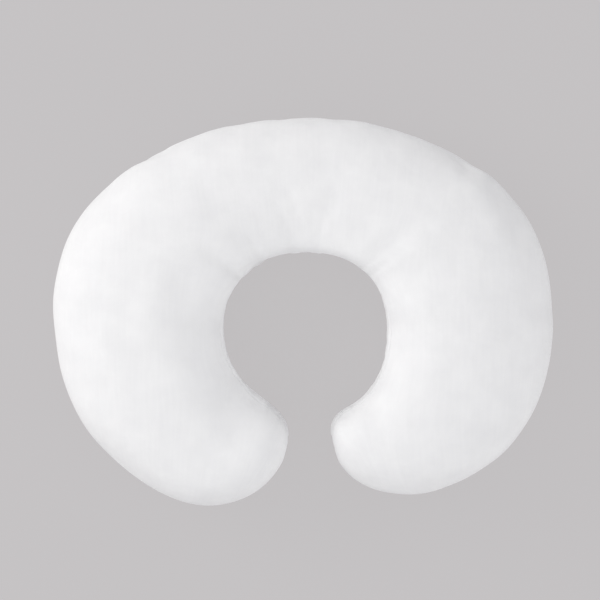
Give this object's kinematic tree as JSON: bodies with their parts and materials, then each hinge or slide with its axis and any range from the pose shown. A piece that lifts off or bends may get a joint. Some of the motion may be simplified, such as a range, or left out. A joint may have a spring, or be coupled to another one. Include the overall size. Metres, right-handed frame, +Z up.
{
  "type": "nursing pillow",
  "caption": "C-shaped fibre-filled nursing pillow with a waist opening and a removable woven cover that closes with a hidden curved zip along the back.",
  "frame": {"origin": "on the resting plane, under the middle of the pillow's outline box", "axes": "+Z up out of the upper face, +X across the widest part from arm to arm, +Y from the mouth towards the curved back"},
  "size_m": [0.52, 0.4026, 0.136],
  "materials": {
    "cover_fabric": "fine plain weave, matt white",
    "casing_fabric": "light plain weave, matt white",
    "fibre": "loose polyester fibre",
    "label_fabric": "satin ribbon, blank",
    "thread": "sewing thread",
    "zip_tape": "twill ribbon",
    "zip_coil": "nylon filament",
    "coil_core": "spun cord",
    "zip_stop": "moulded",
    "slider_metal": "white lacquer on die-cast metal"
  },
  "bodies": {
    "pillow": {"cover_top_panel": "cover_fabric", "cover_bottom_panel": "cover_fabric", "care_label": "label_fabric", "inner_label": "label_fabric", "inner_casing_top": "casing_fabric", "inner_casing_bottom": "casing_fabric", "fibre_fill": "fibre", "casing_closing_thread": "thread", "zip_tape_upper": "zip_tape", "zip_tape_lower": "zip_tape", "zip_coil_upper": "zip_coil", "zip_coil_lower": "zip_coil", "zip_coil_core_upper": "coil_core", "zip_coil_core_lower": "coil_core", "zip_stitching_upper": "thread", "zip_stitching_lower": "thread", "zip_top_stops": "zip_stop", "zip_bottom_stop": "zip_stop"},
    "slider": {"zip_slider": "slider_metal"},
    "pull": {"zip_pull": "slider_metal"}
  },
  "joints": [
    {"name": "zip_opening", "type": "hinge", "parent": "pillow", "child": "slider", "pos_m": [0.004, -0.1537, 0.028], "axis": [0, 0, 1], "range_deg": [0, 41.9]},
    {"name": "pull_swing", "type": "hinge", "parent": "slider", "child": "pull", "pos_m": [0.1305, 0.17634, 0.02671], "axis": [-0.1495, -0.3889, -0.9091], "range_deg": [0, 170]}
  ]
}
